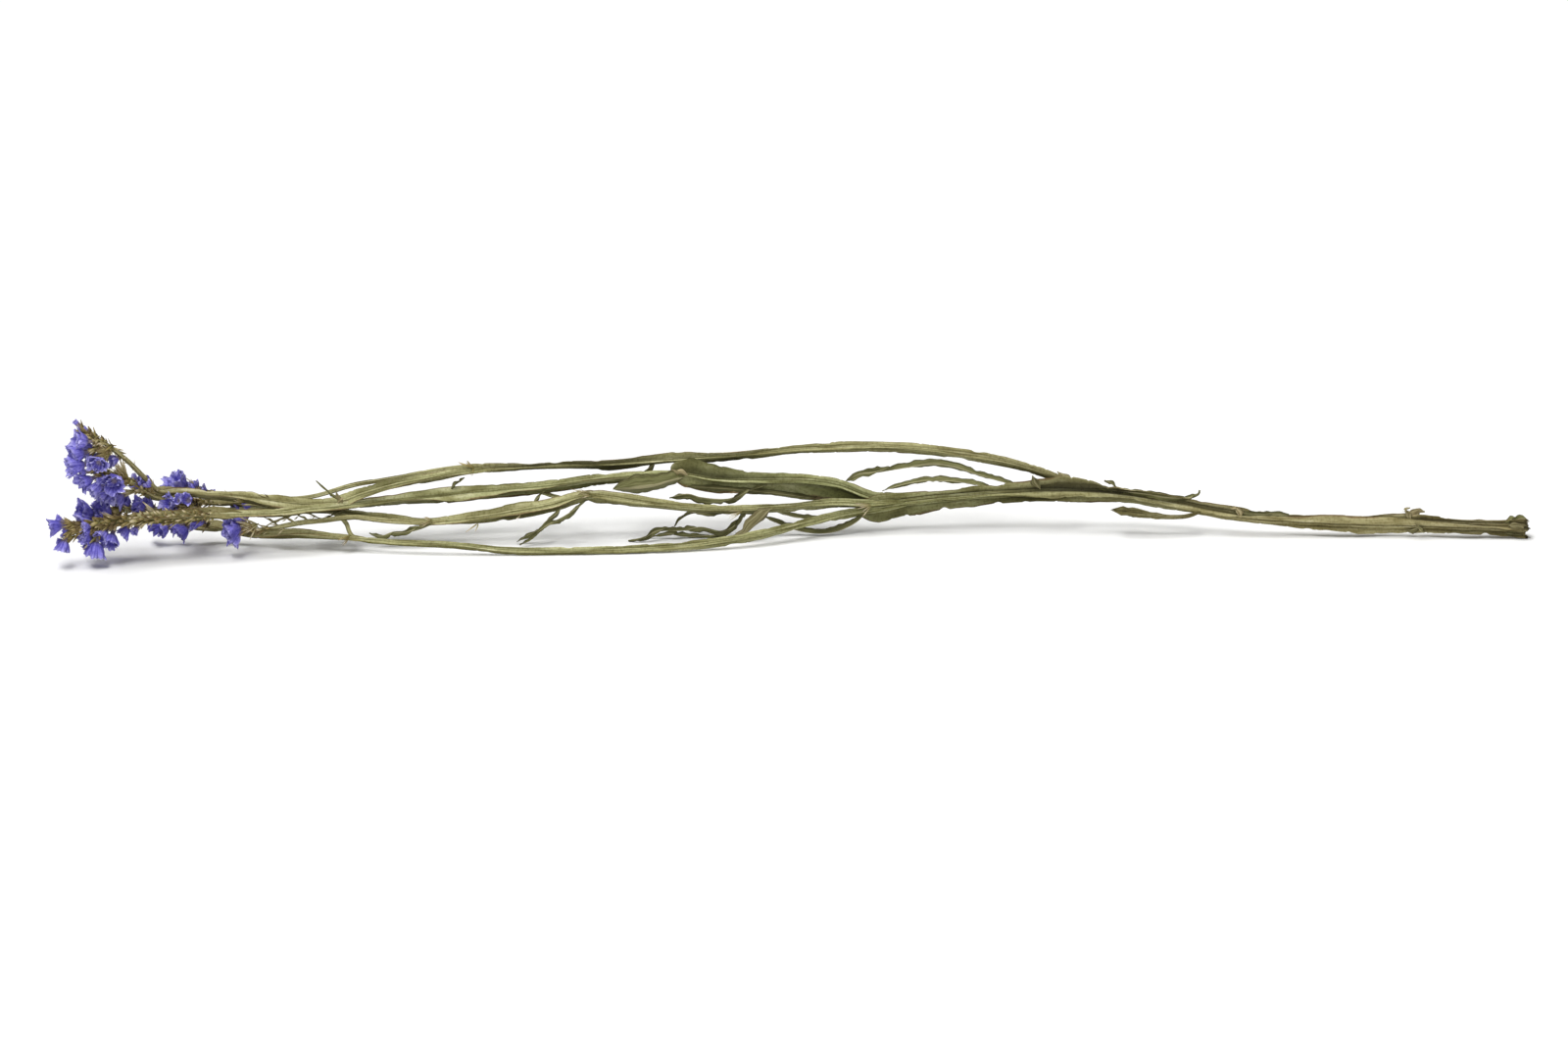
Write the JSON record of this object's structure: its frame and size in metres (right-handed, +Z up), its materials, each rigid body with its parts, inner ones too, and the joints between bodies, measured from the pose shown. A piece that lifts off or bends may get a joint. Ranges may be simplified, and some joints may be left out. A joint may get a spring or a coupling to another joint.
{
  "type": "dried statice",
  "caption": "Dried statice spray lying flat: a winged, branching green stem with curled dry leaves and papery violet-blue flower heads.",
  "frame": {"origin": "middle of the spray's box at its lowest level, on the surface that it lies on", "axes": "+X towards the stem's cut end, +Y towards the spray's far side, +Z up"},
  "size_m": [0.6488, 0.0608, 0.0623],
  "materials": {
    "stem": "matte dried stem with fine pale ridges",
    "leaf": "matte dry leaf, wrinkled",
    "calyx": "papery, pleated, slightly translucent",
    "bract": "matte dry bract, fibrous",
    "twig": "matte dead twig"
  },
  "bodies": {
    "root": {"main_stem": "stem", "arch_branch": "stem", "upper_branch": "stem", "middle_branch": "stem", "low_branch": "stem", "broken_twig": "twig", "stalk_back": "stem", "stalk_top": "stem", "stalk_front": "stem", "stalk_inner": "stem", "stalk_hidden": "stem", "stalk_side": "stem", "stalk_floor": "stem", "stalk_middle": "stem", "head_back": "calyx", "head_top": "calyx", "head_under_top": "calyx", "head_front": "calyx", "head_inner": "calyx", "head_hidden": "calyx", "head_side": "calyx", "head_floor": "calyx", "head_middle": "calyx", "leaf_arch_long": "leaf", "leaf_arch_short": "leaf", "leaf_fork_long": "leaf", "leaf_fork_back": "leaf", "leaf_node_broad": "leaf", "leaf_node_wavy": "leaf", "leaf_node_dark": "leaf", "leaf_node_curved": "leaf", "leaf_twisted": "leaf", "leaf_fold": "leaf", "leaf_hanging": "leaf", "leaf_loop_light": "leaf", "leaf_loop_dark": "leaf", "leaf_under": "leaf", "leaf_inner_short": "leaf", "leaf_arch_end": "leaf", "leaf_lower": "leaf", "leaf_strand": "leaf", "leaf_rest_lower": "leaf", "leaf_rest_upper": "leaf", "leaf_thorn": "leaf"}
  },
  "joints": []
}
